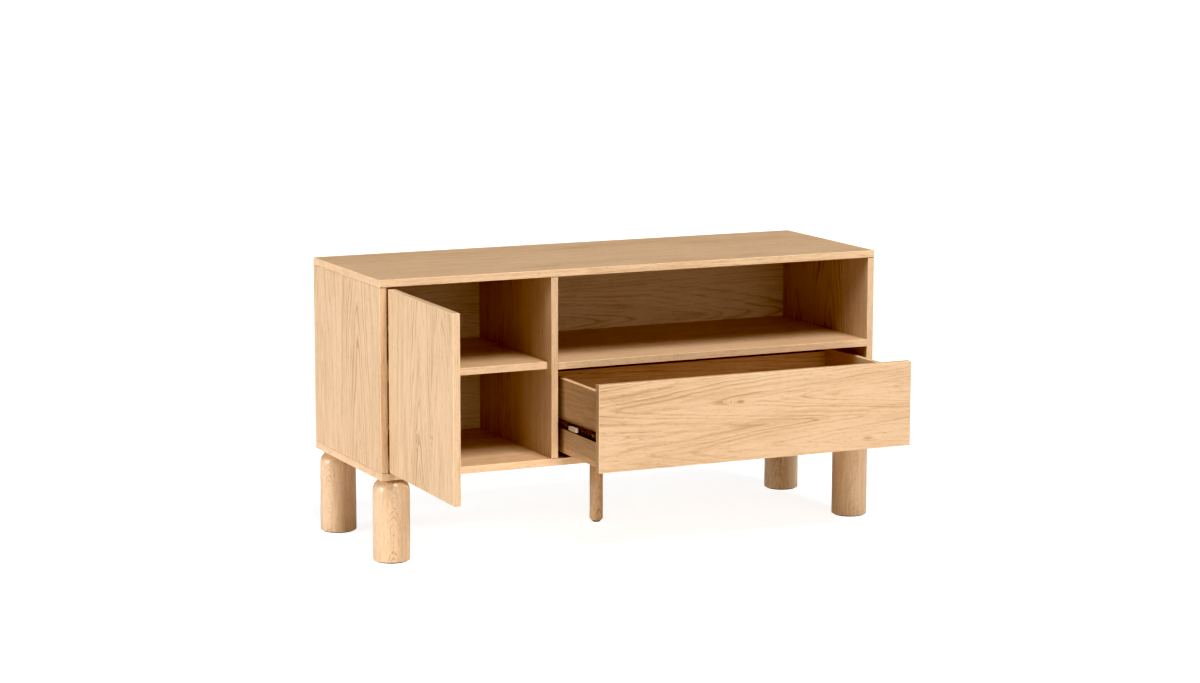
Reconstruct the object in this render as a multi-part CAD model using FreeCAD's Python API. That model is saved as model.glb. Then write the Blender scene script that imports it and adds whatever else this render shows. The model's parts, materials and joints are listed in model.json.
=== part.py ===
import FreeCAD, Part
import math
import os

# Low TV stand in oak veneer: a door on the left, an open media bay over one wide drawer on the
# right, four turned legs and a slim support leg. Millimetres. Origin on the floor under the
# support leg, +X to the right, the front faces -Y, +Z up. The door stands open and the drawer
# is pulled out in the rest pose.

os.makedirs("parts", exist_ok=True)
Vec = FreeCAD.Vector

# Overall sizes
WIDTH = 1200.0
DEPTH = 410.0
HEIGHT = 614.0

# Carcase boards
BOARD = 16.0
DOOR_BAY = 381.0            # clear width of the left compartment
DRAWER_BAY = 196.0          # clear height under the media shelf
SHELF_RISE = 196.0          # bottom panel to the underside of the loose shelf
SHELF_SETBACK = 18.0
SHELF_BACK_GAP = 4.0
SHELF_SIDE_GAP = 1.0
BACK_BOARD = 5.0
BACK_RECESS = 8.0           # rear edges of the boards to the front face of the back panel
GROOVE_DEPTH = 6.0
EDGE_ROUND = 1.0            # eased outer edges of doors, fronts and top
SAME = 1e-6                 # lengths closer than this are equal

# Pins of the loose shelf
PIN_R = 2.5
PIN_IN_BOARD = 9.0
PIN_OUT = 9.0
PIN_FROM_SHELF_EDGE = 40.0

# Joinery
DOWEL_R = 4.0
DOWEL_LENGTH = 28.0
DOWEL_IN_BOARD = 10.0       # depth of a dowel in a board's face
DOWEL_END = 45.0            # board's front and back edges to the outer dowels
HOLE_CLEARANCE = 0.1
SCREW_R = 3.0
SCREW_HEAD_R = 5.0
SCREW_HEAD = 3.0
SCREW_LENGTH = 50.0

# Legs
LEG_HEIGHT = 180.0
GLIDE = 2.0
LEG_R = 40.0
LEG_DOME_R = 28.0
LEG_FOOT_ROUND = 2.0
LEG_FROM_SIDE = 36.0        # carcase side to leg centre
LEG_FROM_FRONT = 36.0
LEG_FROM_BACK = 45.0
SUPPORT_R = 15.0
SUPPORT_CHAMFER = 5.0
GLIDE_INSET = 5.0           # leg's foot to the edge of its glide
SUPPORT_GLIDE_INSET = 1.0
BOLT_R = 4.0
BOLT_IN_LEG = 45.0
BOLT_TIP_GAP = 1.0          # bolt's tip to the insert's upper end
INSERT_R = 6.0
INSERT_LENGTH = 13.0

# Door and its concealed hinges
REVEAL = 3.0                # gap round the door and the drawer front
DOOR_BOARD = 16.0
DOOR_OPEN = 91.0            # degrees, in the rest pose
PIVOT_OUT = 2.5             # swing axis: into the side panel and in front of it
HINGE_FROM_END = 90.0
CUP_R = 17.5
CUP_WALL = 1.5
CUP_DEPTH = 11.5
CUP_FROM_EDGE = 21.5
CUP_FLANGE = 1.2
FLANGE_HALF_HEIGHT = 30.0
FLANGE_HALF_WIDTH = 18.5
ARM_HALF_HEIGHT = 5.0
ARM_THICK = 10.0
ARM_LENGTH = 85.0           # door's inner face to the arm's rear end
ARM_START = 24.0            # door's inner face to the arm's front end on the plate
ARM_ROOM_BEND = 38.0        # the same, to the crank on the arm's room side
ARM_TIP_BENDS = (14.0, 8.0)     # the same, to the crank's other end, room side and wall side
ARM_TIP_WALL = 1.5          # metal round the link, at the arm's tip
ARM_TIP_TRIM = 0.5
ARM_PIN_CLEARANCE = 8.0     # past the open door's inner face
ARM_PIN_AHEAD = 2.0         # in front of the closed door's inner face
PLATE_THICK = 3.0
PLATE_START = 28.0          # door's inner face to the hinge plate
PLATE_LENGTH = 52.0
PLATE_HALF_HEIGHT = 18.0
LINK_THICK = 2.0
LINK_HALF_WIDTH = 2.5
LINK_CLEARANCE = 0.4
LINK_PIN_R = 1.5
LINK_ELBOW_BACK = 1.5       # arm's pin to the link's elbow, towards the wall
LINK_ELBOW_AHEAD = 18.0     # carcase front to the link's elbow
LINK_HOOK_OFFSET = 2.0      # cup's centre to the link's bar
SHAFT_CLEARANCE = 0.05
SMALL_SCREW_R = 1.8
SMALL_SCREW_HEAD_R = 3.5
SMALL_SCREW_LENGTH = 13.0
CUP_SCREW_LENGTH = 11.0
SCREW_FROM_END = 6.0        # ends of a cup's flange and of a plate to their screws

# Push latch behind the door
LATCH_FROM_SIDE = 130.0     # side panel's inner face to the latch's centre line
LATCH_HALF_WIDTH = 9.0
LATCH_LENGTH = 58.0
LATCH_HEIGHT = 15.0
LATCH_BEHIND_DOOR = 4.0
PLUNGER_R = 4.0
PLUNGER_LENGTH = 24.0
PLUNGER_GAP = 0.5
STRIKE_R = 7.0
STRIKE_THICK = 1.2
LATCH_BORE_SPARE = 6.0      # bore's depth beyond the plunger's rear end
LATCH_SCREWS = (8.0, 20.0)  # from the latch's rear end
LATCH_SCREW_HEAD = 2.0
LATCH_SCREW_IN_BOARD = 9.0

# Drawer
DRAWER_PULL = 203.0         # how far it stands out in the rest pose
DRAWER_FRONT = 16.0
DRAWER_SIDE = 12.0
DRAWER_TOP_GAP = 22.0       # media shelf to the drawer sides' upper edge
DRAWER_BOTTOM_GAP = 10.0    # bottom panel to the drawer's bottom board
DRAWER_BOTTOM = 12.0        # board under the sides and the back
DRAWER_BACK_GAP = 36.0      # behind the closed drawer
DRAWER_GROOVE = 5.0         # bottom board's edge into the drawer front
DRAWER_BACK_DROP = 10.0     # drawer sides' upper edge to the back board's
DRAWER_DOWEL_R = 3.0
DRAWER_DOWEL_LEVELS = (0.25, 0.8)   # shares of the sides' height
DRAWER_DOWEL_START = 4.0    # side's outer face to the back dowels
BOTTOM_SCREWS = 4           # through the bottom board into each side
BOTTOM_SCREW_LENGTH = 30.0
BOTTOM_SCREW_HEAD = 2.0

# Ball-bearing slides, one each side of the drawer: two channels that face each other, one on
# the bay's wall and one on the drawer, and a middle rail of I section that runs in both
SLIDE_THICK = 12.7
SLIDE_RISE = 75.5           # bottom panel to the slide's centre line
SLIDE_SETBACK = 1.0         # behind the drawer front's inner face
SHEET = 1.2
RAIL_HALF = 9.0             # channels' half height
RAIL_REACH = 5.8            # channels' depth
MIDDLE_HALF = 6.0           # middle rail's half height
MIDDLE_INSET = 2.4          # bay wall to the middle rail, and middle rail to the drawer
CAGE_CLEARANCE = 0.3
CAGE_LENGTH = 110.0
CAGE_WIDTH = 2.8
CAGE_INSET = 0.2            # middle rail's edge to the ball cages
WALL_CAGE_PLACE = 0.6       # shares of the slide's length
DRAWER_CAGE_PLACE = 0.15
BUMPER_OUT = 30.0           # bumper's length in front of the middle rail
BUMPER_GRIP = 8.0           # its tongues between the middle rail's flanges
BUMPER_HALF = 5.2
BUMPER_INSET = 0.8          # middle rail's sides to the bumper's
TONGUE_PLAY = 0.2
RAIL_HOLE_R = 2.6
RAIL_HOLE_PITCH = 16.0
RAIL_HOLE_MARGIN = 1.0      # metal between a hole and a screw's head
RAIL_SCREW_FROM_END = 32.0
RAIL_SCREW_LENGTH = 10.0    # into the drawer's side
PULLED_SHARE = 0.5          # of the drawer's travel that the middle rails make

# Levels and planes that follow from the sizes above
LEFT = -WIDTH / 2
RIGHT = WIDTH / 2
FRONT = -DEPTH / 2
REAR = DEPTH / 2
BASE = LEG_HEIGHT + GLIDE
FLOOR_LEVEL = BASE + BOARD
CEILING = HEIGHT - BOARD
WALL_LEFT = LEFT + BOARD
WALL_RIGHT = RIGHT - BOARD
DIVIDER_LEFT = WALL_LEFT + DOOR_BAY
DIVIDER_RIGHT = DIVIDER_LEFT + BOARD
BACK_FACE = REAR - BACK_RECESS
MEDIA_SHELF = FLOOR_LEVEL + DRAWER_BAY
LOOSE_SHELF = FLOOR_LEVEL + SHELF_RISE
LEG_TOP = BASE
LEG_FOOT = GLIDE


def box(x0, x1, y0, y1, z0, z1):
    """Box between two corners."""
    return Part.makeBox(x1 - x0, y1 - y0, z1 - z0, Vec(x0, y0, z0))


def rod(radius, start, end):
    """Round bar from one point to another."""
    along = end - start
    return Part.makeCylinder(radius, along.Length, start, along)


def eased(shape, picked=None):
    """Board with its edges rounded: all twelve, or those whose middle the test picks."""
    edges = [e for e in shape.Edges if picked is None or picked(e.CenterOfMass)]
    return shape.makeFillet(EDGE_ROUND, edges)


def near(a, b):
    """Whether two lengths are the same."""
    return abs(a - b) < SAME


def cut(shape, tools):
    """Shape with every tool taken away."""
    return shape.cut(Part.makeCompound(tools)) if tools else shape


def one_solid(shape):
    """The single solid that a boolean result holds."""
    return shape.Solids[0] if len(shape.Solids) == 1 else shape


def export(name, shape):
    """Write a node's STEP file."""
    one_solid(shape).exportStep("parts/" + name + ".step")


def export_group(name, shapes):
    """Write several separate solids as one node."""
    export(name, Part.makeCompound(shapes))


# ---------------------------------------------------------------- joinery

def dowel_rows():
    """Y places of the dowels along a board that runs front to back."""
    first = FRONT + DOWEL_END
    last = BACK_FACE - DOWEL_END
    return [first, (first + last) / 2, last]


def upright_dowels():
    """Dowels between the top or bottom panel and the three upright boards."""
    rods = []
    for x in (LEFT + BOARD / 2, DIVIDER_LEFT + BOARD / 2, RIGHT - BOARD / 2):
        for y in dowel_rows():
            top_end = CEILING + DOWEL_IN_BOARD
            rods.append((Vec(x, y, top_end - DOWEL_LENGTH), Vec(x, y, top_end)))
            low_end = FLOOR_LEVEL - DOWEL_IN_BOARD
            rods.append((Vec(x, y, low_end), Vec(x, y, low_end + DOWEL_LENGTH)))
    return rods


def media_shelf_dowels():
    """Level dowels that carry the media shelf between divider and side panel."""
    rods = []
    z = MEDIA_SHELF + BOARD / 2
    for y in dowel_rows():
        left_end = DIVIDER_RIGHT - DOWEL_IN_BOARD
        rods.append((Vec(left_end, y, z), Vec(left_end + DOWEL_LENGTH, y, z)))
        right_end = WALL_RIGHT + DOWEL_IN_BOARD
        rods.append((Vec(right_end - DOWEL_LENGTH, y, z), Vec(right_end, y, z)))
    return rods


def dowel_holes(rods):
    """Holes for a list of dowels, a little wider than the dowels."""
    return [rod(DOWEL_R + HOLE_CLEARANCE, a, b) for a, b in rods]


def screw_places():
    """Long screws up through the bottom panel, between the dowels."""
    y1, y2, y3 = dowel_rows()
    places = []
    for x in (LEFT + BOARD / 2, DIVIDER_LEFT + BOARD / 2, RIGHT - BOARD / 2):
        places.append(Vec(x, (y1 + y2) / 2, BASE))
        places.append(Vec(x, (y2 + y3) / 2, BASE))
    return places


def long_screw(place, extra=0.0):
    """Long screw with its head flush with the bottom panel's underside."""
    head = rod(SCREW_HEAD_R + extra, place, place + Vec(0, 0, SCREW_HEAD))
    shank = rod(SCREW_R + extra, place, place + Vec(0, 0, SCREW_LENGTH))
    return head.fuse(shank)


def small_screw(place, into, extra=0.0, head=SHEET, length=SMALL_SCREW_LENGTH):
    """Flat-head screw: place is on the head's outer face, into points into the board."""
    head_part = rod(SMALL_SCREW_HEAD_R + extra, place, place + into * head)
    shank = rod(SMALL_SCREW_R + extra, place, place + into * length)
    return head_part.fuse(shank)


# ---------------------------------------------------------------- legs

def leg_places():
    """Centres of the four corner legs."""
    left = LEFT + LEG_FROM_SIDE
    right = RIGHT - LEG_FROM_SIDE
    front = FRONT + LEG_FROM_FRONT
    back = REAR - LEG_FROM_BACK
    return {"front_left": (left, front), "front_right": (right, front),
            "back_left": (left, back), "back_right": (right, back)}


def bolt_places():
    """Centres of all five leg bolts, the support leg's last."""
    return list(leg_places().values()) + [(0.0, 0.0)]


def leg_bolt(x, y, extra=0.0):
    """Hanger bolt, from inside the leg up into its insert."""
    low = Vec(x, y, LEG_TOP - BOLT_IN_LEG)
    high = Vec(x, y, LEG_TOP + INSERT_LENGTH - BOLT_TIP_GAP)
    return rod(BOLT_R + extra, low, high)


def corner_leg(x, y):
    """Turned leg with a domed shoulder and a small flat on top."""
    body = rod(LEG_R, Vec(x, y, LEG_FOOT), Vec(x, y, LEG_TOP))
    rims = [e for e in body.Edges if isinstance(e.Curve, Part.Circle)]
    top_rim = max(rims, key=lambda e: e.CenterOfMass.z)
    body = body.makeFillet(LEG_DOME_R, [top_rim])
    rims = [e for e in body.Edges if isinstance(e.Curve, Part.Circle)]
    foot_rim = min(rims, key=lambda e: e.CenterOfMass.z)
    body = body.makeFillet(LEG_FOOT_ROUND, [foot_rim])
    return body.cut(leg_bolt(x, y, HOLE_CLEARANCE))


def support_leg():
    """Slim leg under the middle, chamfered at its foot."""
    foot = Part.makeCone(SUPPORT_R - SUPPORT_CHAMFER, SUPPORT_R, SUPPORT_CHAMFER,
                         Vec(0, 0, LEG_FOOT))
    stem = rod(SUPPORT_R, Vec(0, 0, LEG_FOOT + SUPPORT_CHAMFER), Vec(0, 0, LEG_TOP))
    return foot.fuse(stem).cut(leg_bolt(0.0, 0.0, HOLE_CLEARANCE))


def make_legs():
    """All legs, glides, bolts and inserts."""
    for name, (x, y) in leg_places().items():
        export("leg_" + name, corner_leg(x, y))
    export("support_leg", support_leg())
    glides = [rod(LEG_R - GLIDE_INSET, Vec(x, y, 0), Vec(x, y, GLIDE))
              for x, y in leg_places().values()]
    support_glide_r = SUPPORT_R - SUPPORT_CHAMFER - SUPPORT_GLIDE_INSET
    glides.append(rod(support_glide_r, Vec(0, 0, 0), Vec(0, 0, GLIDE)))
    export_group("leg_glides", glides)
    export_group("leg_bolts", [leg_bolt(x, y) for x, y in bolt_places()])
    export_group("leg_inserts", [leg_insert(x, y) for x, y in bolt_places()])


def leg_insert(x, y):
    """Threaded bush in the bottom panel."""
    bush = rod(INSERT_R, Vec(x, y, LEG_TOP), Vec(x, y, LEG_TOP + INSERT_LENGTH))
    return bush.cut(leg_bolt(x, y, HOLE_CLEARANCE))


# ---------------------------------------------------------------- carcase

def back_panel():
    """Thin board held in grooves all round."""
    return box(WALL_LEFT - GROOVE_DEPTH, WALL_RIGHT + GROOVE_DEPTH,
               BACK_FACE, BACK_FACE + BACK_BOARD,
               FLOOR_LEVEL - GROOVE_DEPTH, CEILING + GROOVE_DEPTH)


def make_carcase():
    """Fixed boards of the cabinet."""
    uprights = dowel_holes(upright_dowels())
    shelf_holes = dowel_holes(media_shelf_dowels())
    screws = [long_screw(p, HOLE_CLEARANCE) for p in screw_places()]
    inserts = [rod(INSERT_R, Vec(x, y, BASE), Vec(x, y, BASE + INSERT_LENGTH))
               for x, y in bolt_places()]
    back = back_panel()
    export("back_panel", back)

    top = eased(box(LEFT, RIGHT, FRONT, REAR, CEILING, HEIGHT))
    export("top_panel", cut(top, uprights + [back]))

    bottom = eased(box(LEFT, RIGHT, FRONT, REAR, BASE, FLOOR_LEVEL))
    latch = [latch_screw(p, HOLE_CLEARANCE) for p in latch_screw_places()]
    export("bottom_panel", cut(bottom, uprights + screws + inserts + latch + [back]))

    left = eased(box(LEFT, WALL_LEFT, FRONT, REAR, FLOOR_LEVEL, CEILING),
                 lambda p: near(p.x, LEFT) or (near(p.x, WALL_LEFT) and near(p.y, FRONT)))
    left_tools = uprights + screws + pin_bores(-1) + plate_screw_set(HOLE_CLEARANCE) + [back]
    export("left_side_panel", cut(left, left_tools))

    right = eased(box(WALL_RIGHT, RIGHT, FRONT, REAR, FLOOR_LEVEL, CEILING),
                  lambda p: near(p.x, RIGHT) or (near(p.x, WALL_RIGHT) and near(p.y, FRONT)))
    right_tools = uprights + screws + shelf_holes + bay_screw_set(1, HOLE_CLEARANCE) + [back]
    export("right_side_panel", cut(right, right_tools))

    divider = eased(box(DIVIDER_LEFT, DIVIDER_RIGHT, FRONT, BACK_FACE, FLOOR_LEVEL, CEILING),
                    lambda p: near(p.y, FRONT) and near(p.z, (FLOOR_LEVEL + CEILING) / 2))
    divider_tools = uprights + screws + shelf_holes + pin_bores(1)
    divider_tools += bay_screw_set(-1, HOLE_CLEARANCE)
    export("centre_divider", cut(divider, divider_tools))

    shelf = eased(box(DIVIDER_RIGHT, WALL_RIGHT, FRONT, BACK_FACE,
                      MEDIA_SHELF, MEDIA_SHELF + BOARD),
                  lambda p: near(p.y, FRONT) and near(p.x, (DIVIDER_RIGHT + WALL_RIGHT) / 2))
    export("media_shelf", cut(shelf, shelf_holes))

    all_dowels = upright_dowels() + media_shelf_dowels()
    export_group("carcase_dowels", [rod(DOWEL_R, a, b) for a, b in all_dowels])
    export_group("carcase_screws", [long_screw(p) for p in screw_places()])


# ---------------------------------------------------------------- loose shelf

def shelf_edges():
    """Front and back planes of the loose shelf."""
    return FRONT + SHELF_SETBACK, BACK_FACE - SHELF_BACK_GAP


def pin_places(side):
    """Wall points of the shelf pins: side -1 is the side panel, 1 the divider."""
    front, back = shelf_edges()
    x = WALL_LEFT if side < 0 else DIVIDER_LEFT
    z = LOOSE_SHELF - PIN_R
    return [Vec(x, y, z) for y in (front + PIN_FROM_SHELF_EDGE, back - PIN_FROM_SHELF_EDGE)]


def pin_bores(side):
    """Blind bores for the shelf pins of one wall."""
    out = Vec(side, 0, 0)
    return [rod(PIN_R + HOLE_CLEARANCE, p, p + out * PIN_IN_BOARD) for p in pin_places(side)]


def make_loose_shelf():
    """Shelf of the left compartment on its four pins."""
    front, back = shelf_edges()
    shelf = box(WALL_LEFT + SHELF_SIDE_GAP, DIVIDER_LEFT - SHELF_SIDE_GAP, front, back,
                LOOSE_SHELF, LOOSE_SHELF + BOARD)
    export("cabinet_shelf", eased(shelf))
    pins = []
    for side in (-1, 1):
        out = Vec(side, 0, 0)
        pins += [rod(PIN_R, p - out * PIN_OUT, p + out * PIN_IN_BOARD) for p in pin_places(side)]
    export_group("shelf_pins", pins)


# ---------------------------------------------------------------- door

DOOR_LEFT = WALL_LEFT + REVEAL
DOOR_RIGHT = DIVIDER_LEFT - REVEAL
DOOR_LOW = FLOOR_LEVEL + REVEAL
DOOR_HIGH = CEILING - REVEAL
DOOR_INNER = FRONT + DOOR_BOARD
DOOR_PIVOT = Vec(WALL_LEFT - PIVOT_OUT, FRONT - PIVOT_OUT, 0)
CUP_X = DOOR_LEFT + CUP_FROM_EDGE
CUP_FLOOR = DOOR_INNER - CUP_DEPTH + CUP_WALL
ARM_PIN = Vec(WALL_LEFT + DOOR_BOARD + ARM_PIN_CLEARANCE, DOOR_INNER - ARM_PIN_AHEAD, 0)


def swung(shape):
    """Shape modelled on the closed door, turned to the open rest pose."""
    turned = shape.copy()
    turned.rotate(DOOR_PIVOT, Vec(0, 0, 1), -DOOR_OPEN)
    return turned


def swung_point(x, y):
    """Point of the closed door, turned to the open rest pose."""
    angle = math.radians(-DOOR_OPEN)
    dx = x - DOOR_PIVOT.x
    dy = y - DOOR_PIVOT.y
    return Vec(DOOR_PIVOT.x + dx * math.cos(angle) - dy * math.sin(angle),
               DOOR_PIVOT.y + dx * math.sin(angle) + dy * math.cos(angle), 0)


def hinge_levels():
    """Heights of the two hinges."""
    return {"upper": DOOR_HIGH - HINGE_FROM_END, "lower": DOOR_LOW + HINGE_FROM_END}


def hinge_cup(z):
    """Pressed cup with its flange, sunk in the door's inner face."""
    mouth = Vec(CUP_X, DOOR_INNER, z)
    outer = rod(CUP_R, mouth, mouth - Vec(0, CUP_DEPTH, 0))
    flange = box(CUP_X - FLANGE_HALF_WIDTH, CUP_X + FLANGE_HALF_WIDTH,
                 DOOR_INNER, DOOR_INNER + CUP_FLANGE,
                 z - FLANGE_HALF_HEIGHT, z + FLANGE_HALF_HEIGHT)
    hollow = rod(CUP_R - CUP_WALL, Vec(CUP_X, CUP_FLOOR, z),
                 Vec(CUP_X, DOOR_INNER + CUP_FLANGE, z))
    return outer.fuse(flange).cut(hollow)


def cup_screw_set(z, extra=0.0):
    """Two screws through one cup's flange."""
    y = DOOR_INNER + CUP_FLANGE
    into = Vec(0, -1, 0)
    offset = FLANGE_HALF_HEIGHT - SCREW_FROM_END
    return [small_screw(Vec(CUP_X, y, z + s * offset), into, extra, CUP_FLANGE, CUP_SCREW_LENGTH)
            for s in (-1, 1)]


def arm_outline():
    """Cranked arm seen from above, from its plate to its tip."""
    tip = LINK_HALF_WIDTH + ARM_TIP_WALL
    on_plate = WALL_LEFT + PLATE_THICK
    in_room = on_plate + ARM_THICK
    tip_left = ARM_PIN.x - tip + ARM_TIP_TRIM
    tip_right = ARM_PIN.x + tip
    room_bend, wall_bend = ARM_TIP_BENDS
    return [(on_plate, DOOR_INNER + ARM_START), (on_plate, DOOR_INNER + ARM_LENGTH),
            (in_room, DOOR_INNER + ARM_LENGTH), (in_room, DOOR_INNER + ARM_ROOM_BEND),
            (tip_right, DOOR_INNER + room_bend), (tip_right, ARM_PIN.y - tip),
            (tip_left, ARM_PIN.y - tip), (tip_left, DOOR_INNER + wall_bend)]


def hinge_arm(z):
    """Arm of one hinge with the bore for its link's pin."""
    points = [Vec(x, y, z - ARM_HALF_HEIGHT) for x, y in arm_outline()]
    face = Part.Face(Part.makePolygon(points + [points[0]]))
    body = face.extrude(Vec(0, 0, 2 * ARM_HALF_HEIGHT))
    bore = rod(LINK_PIN_R + SHAFT_CLEARANCE, ARM_PIN + Vec(0, 0, z - ARM_HALF_HEIGHT),
               ARM_PIN + Vec(0, 0, z + ARM_HALF_HEIGHT))
    return body.cut(bore)


def plate_box(z):
    """Mounting plate of one hinge on the side panel."""
    start = DOOR_INNER + PLATE_START
    return box(WALL_LEFT, WALL_LEFT + PLATE_THICK, start, start + PLATE_LENGTH,
               z - PLATE_HALF_HEIGHT, z + PLATE_HALF_HEIGHT)


def plate_screws(z, extra=0.0):
    """Two screws through one mounting plate."""
    y = DOOR_INNER + PLATE_START + PLATE_LENGTH / 2
    offset = PLATE_HALF_HEIGHT - SCREW_FROM_END
    return [small_screw(Vec(WALL_LEFT + PLATE_THICK, y, z + s * offset), Vec(-1, 0, 0), extra,
                        PLATE_THICK) for s in (-1, 1)]


def plate_screw_set(extra=0.0):
    """Screws of both mounting plates."""
    return [s for z in hinge_levels().values() for s in plate_screws(z, extra)]


def flat_bar(a, b, z0, z1):
    """Level bar between two points with round ends."""
    along = b - a
    side = Vec(-along.y, along.x, 0)
    side.normalize()
    side = side * LINK_HALF_WIDTH
    lift = Vec(0, 0, z0)
    corners = [a + side + lift, b + side + lift, b - side + lift, a - side + lift]
    face = Part.Face(Part.makePolygon(corners + [corners[0]]))
    bar = face.extrude(Vec(0, 0, z1 - z0))
    for p in (a, b):
        bar = bar.fuse(rod(LINK_HALF_WIDTH, p + Vec(0, 0, z0), p + Vec(0, 0, z1)))
    return bar


def hinge_link(z):
    """Two cheeks astride the arm, joined by a pin in it and a bar in the cup."""
    elbow = Vec(ARM_PIN.x - LINK_ELBOW_BACK, FRONT - LINK_ELBOW_AHEAD, 0)
    hook = swung_point(CUP_X - LINK_HOOK_OFFSET, CUP_FLOOR + LINK_CLEARANCE + LINK_HALF_WIDTH)
    inside = ARM_HALF_HEIGHT + LINK_CLEARANCE
    outside = inside + LINK_THICK
    low = Vec(0, 0, z - outside)
    high = Vec(0, 0, z + outside)
    link = rod(LINK_PIN_R, ARM_PIN + low, ARM_PIN + high)
    link = link.fuse(rod(LINK_HALF_WIDTH, hook + low, hook + high))
    for z0, z1 in ((z - outside, z - inside), (z + inside, z + outside)):
        link = link.fuse(flat_bar(ARM_PIN, elbow, z0, z1))
        link = link.fuse(flat_bar(elbow, hook, z0, z1))
    return link.removeSplitter()


def make_door():
    """Door with its hinges, and what they fasten to."""
    board = eased(box(DOOR_LEFT, DOOR_RIGHT, FRONT, DOOR_INNER, DOOR_LOW, DOOR_HIGH))
    tools = []
    cup_screws = []
    for name, z in hinge_levels().items():
        bore_end = Vec(CUP_X, DOOR_INNER - CUP_DEPTH, z)
        tools.append(rod(CUP_R + HOLE_CLEARANCE, bore_end, Vec(CUP_X, DOOR_INNER, z)))
        tools += cup_screw_set(z, HOLE_CLEARANCE)
        screws = cup_screw_set(z)
        cup_screws += screws
        cup = cut(hinge_cup(z), cup_screw_set(z, HOLE_CLEARANCE))
        export(name + "_hinge_cup", swung(cup))
        export(name + "_hinge_arm", hinge_arm(z))
        export(name + "_hinge_link", hinge_link(z))
        export(name + "_hinge_plate", cut(plate_box(z), plate_screws(z, HOLE_CLEARANCE)))
    export("door_panel", swung(cut(board, tools)))
    export_group("hinge_cup_screws", [swung(s) for s in cup_screws])
    export_group("hinge_plate_screws", plate_screw_set())


# ---------------------------------------------------------------- push latch

LATCH_X = WALL_LEFT + LATCH_FROM_SIDE
LATCH_FRONT = DOOR_INNER + LATCH_BEHIND_DOOR
LATCH_MID = FLOOR_LEVEL + LATCH_HEIGHT / 2


def latch_screw_places():
    """Head centres of the two latch screws, on the latch's upper face."""
    back = LATCH_FRONT + LATCH_LENGTH
    return [Vec(LATCH_X, back - y, FLOOR_LEVEL + LATCH_HEIGHT) for y in LATCH_SCREWS]


def latch_screw(place, extra=0.0):
    """Screw down through the latch housing into the bottom panel."""
    return small_screw(place, Vec(0, 0, -1), extra, LATCH_SCREW_HEAD,
                       LATCH_HEIGHT + LATCH_SCREW_IN_BOARD)


def make_latch():
    """Push latch with its sprung plunger and the plate it meets on the door."""
    back = LATCH_FRONT + LATCH_LENGTH
    housing = box(LATCH_X - LATCH_HALF_WIDTH, LATCH_X + LATCH_HALF_WIDTH, LATCH_FRONT, back,
                  FLOOR_LEVEL, FLOOR_LEVEL + LATCH_HEIGHT)
    tip = DOOR_INNER + STRIKE_THICK + PLUNGER_GAP
    bore_end = Vec(LATCH_X, tip + PLUNGER_LENGTH + LATCH_BORE_SPARE, LATCH_MID)
    bore = rod(PLUNGER_R + SHAFT_CLEARANCE, Vec(LATCH_X, LATCH_FRONT, LATCH_MID), bore_end)
    screws = [latch_screw(p, HOLE_CLEARANCE) for p in latch_screw_places()]
    export("push_latch_housing", cut(housing, screws + [bore]))
    plunger = rod(PLUNGER_R, Vec(LATCH_X, tip, LATCH_MID),
                  Vec(LATCH_X, tip + PLUNGER_LENGTH, LATCH_MID))
    export("push_latch_plunger", plunger)
    plate = rod(STRIKE_R, Vec(LATCH_X, DOOR_INNER, LATCH_MID),
                Vec(LATCH_X, DOOR_INNER + STRIKE_THICK, LATCH_MID))
    export("latch_strike_plate", swung(plate))
    export_group("latch_screws", [latch_screw(p) for p in latch_screw_places()])


# ---------------------------------------------------------------- drawer

FRONT_LEFT = DIVIDER_RIGHT + REVEAL
FRONT_RIGHT = WALL_RIGHT - REVEAL
FRONT_LOW = FLOOR_LEVEL + REVEAL
FRONT_HIGH = MEDIA_SHELF - REVEAL
FRONT_INNER = FRONT + DRAWER_FRONT
DRAWER_REAR = BACK_FACE - DRAWER_BACK_GAP
SIDE_LEFT = DIVIDER_RIGHT + SLIDE_THICK
SIDE_RIGHT = WALL_RIGHT - SLIDE_THICK
SIDE_LOW = FLOOR_LEVEL + DRAWER_BOTTOM_GAP + DRAWER_BOTTOM
SIDE_HIGH = MEDIA_SHELF - DRAWER_TOP_GAP
PULLED = Vec(0, -DRAWER_PULL, 0)


def pulled(shape, share=1.0):
    """Shape modelled on the closed drawer, moved to the pulled-out rest pose."""
    moved = shape.copy()
    moved.translate(PULLED * share)
    return moved


def drawer_bottom_board():
    """Bottom board under the sides and the back, let into the drawer front."""
    return box(SIDE_LEFT, SIDE_RIGHT, FRONT_INNER - DRAWER_GROOVE, DRAWER_REAR,
               SIDE_LOW - DRAWER_BOTTOM, SIDE_LOW)


def bottom_screw_set(extra=0.0):
    """Screws up through the bottom board into both sides."""
    step = (DRAWER_REAR - FRONT_INNER) / BOTTOM_SCREWS
    up = Vec(0, 0, 1)
    screws = []
    for x in (SIDE_LEFT + DRAWER_SIDE / 2, SIDE_RIGHT - DRAWER_SIDE / 2):
        for number in range(BOTTOM_SCREWS):
            place = Vec(x, FRONT_INNER + (number + 0.5) * step, SIDE_LOW - DRAWER_BOTTOM)
            screws.append(small_screw(place, up, extra, BOTTOM_SCREW_HEAD, BOTTOM_SCREW_LENGTH))
    return screws


def drawer_dowel_rods():
    """Dowels from the sides into the front, and from the sides into the back board."""
    rods = []
    y_back = DRAWER_REAR - DRAWER_SIDE / 2
    for x, inward in ((SIDE_LEFT, 1), (SIDE_RIGHT, -1)):
        for share in DRAWER_DOWEL_LEVELS:
            z = SIDE_LOW + (SIDE_HIGH - SIDE_LOW) * share
            middle = x + inward * DRAWER_SIDE / 2
            rods.append((Vec(middle, FRONT_INNER - DOWEL_IN_BOARD, z),
                         Vec(middle, FRONT_INNER - DOWEL_IN_BOARD + DOWEL_LENGTH, z)))
            start = x + inward * DRAWER_DOWEL_START
            rods.append((Vec(start, y_back, z), Vec(start + inward * DOWEL_LENGTH, y_back, z)))
    return rods


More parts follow.
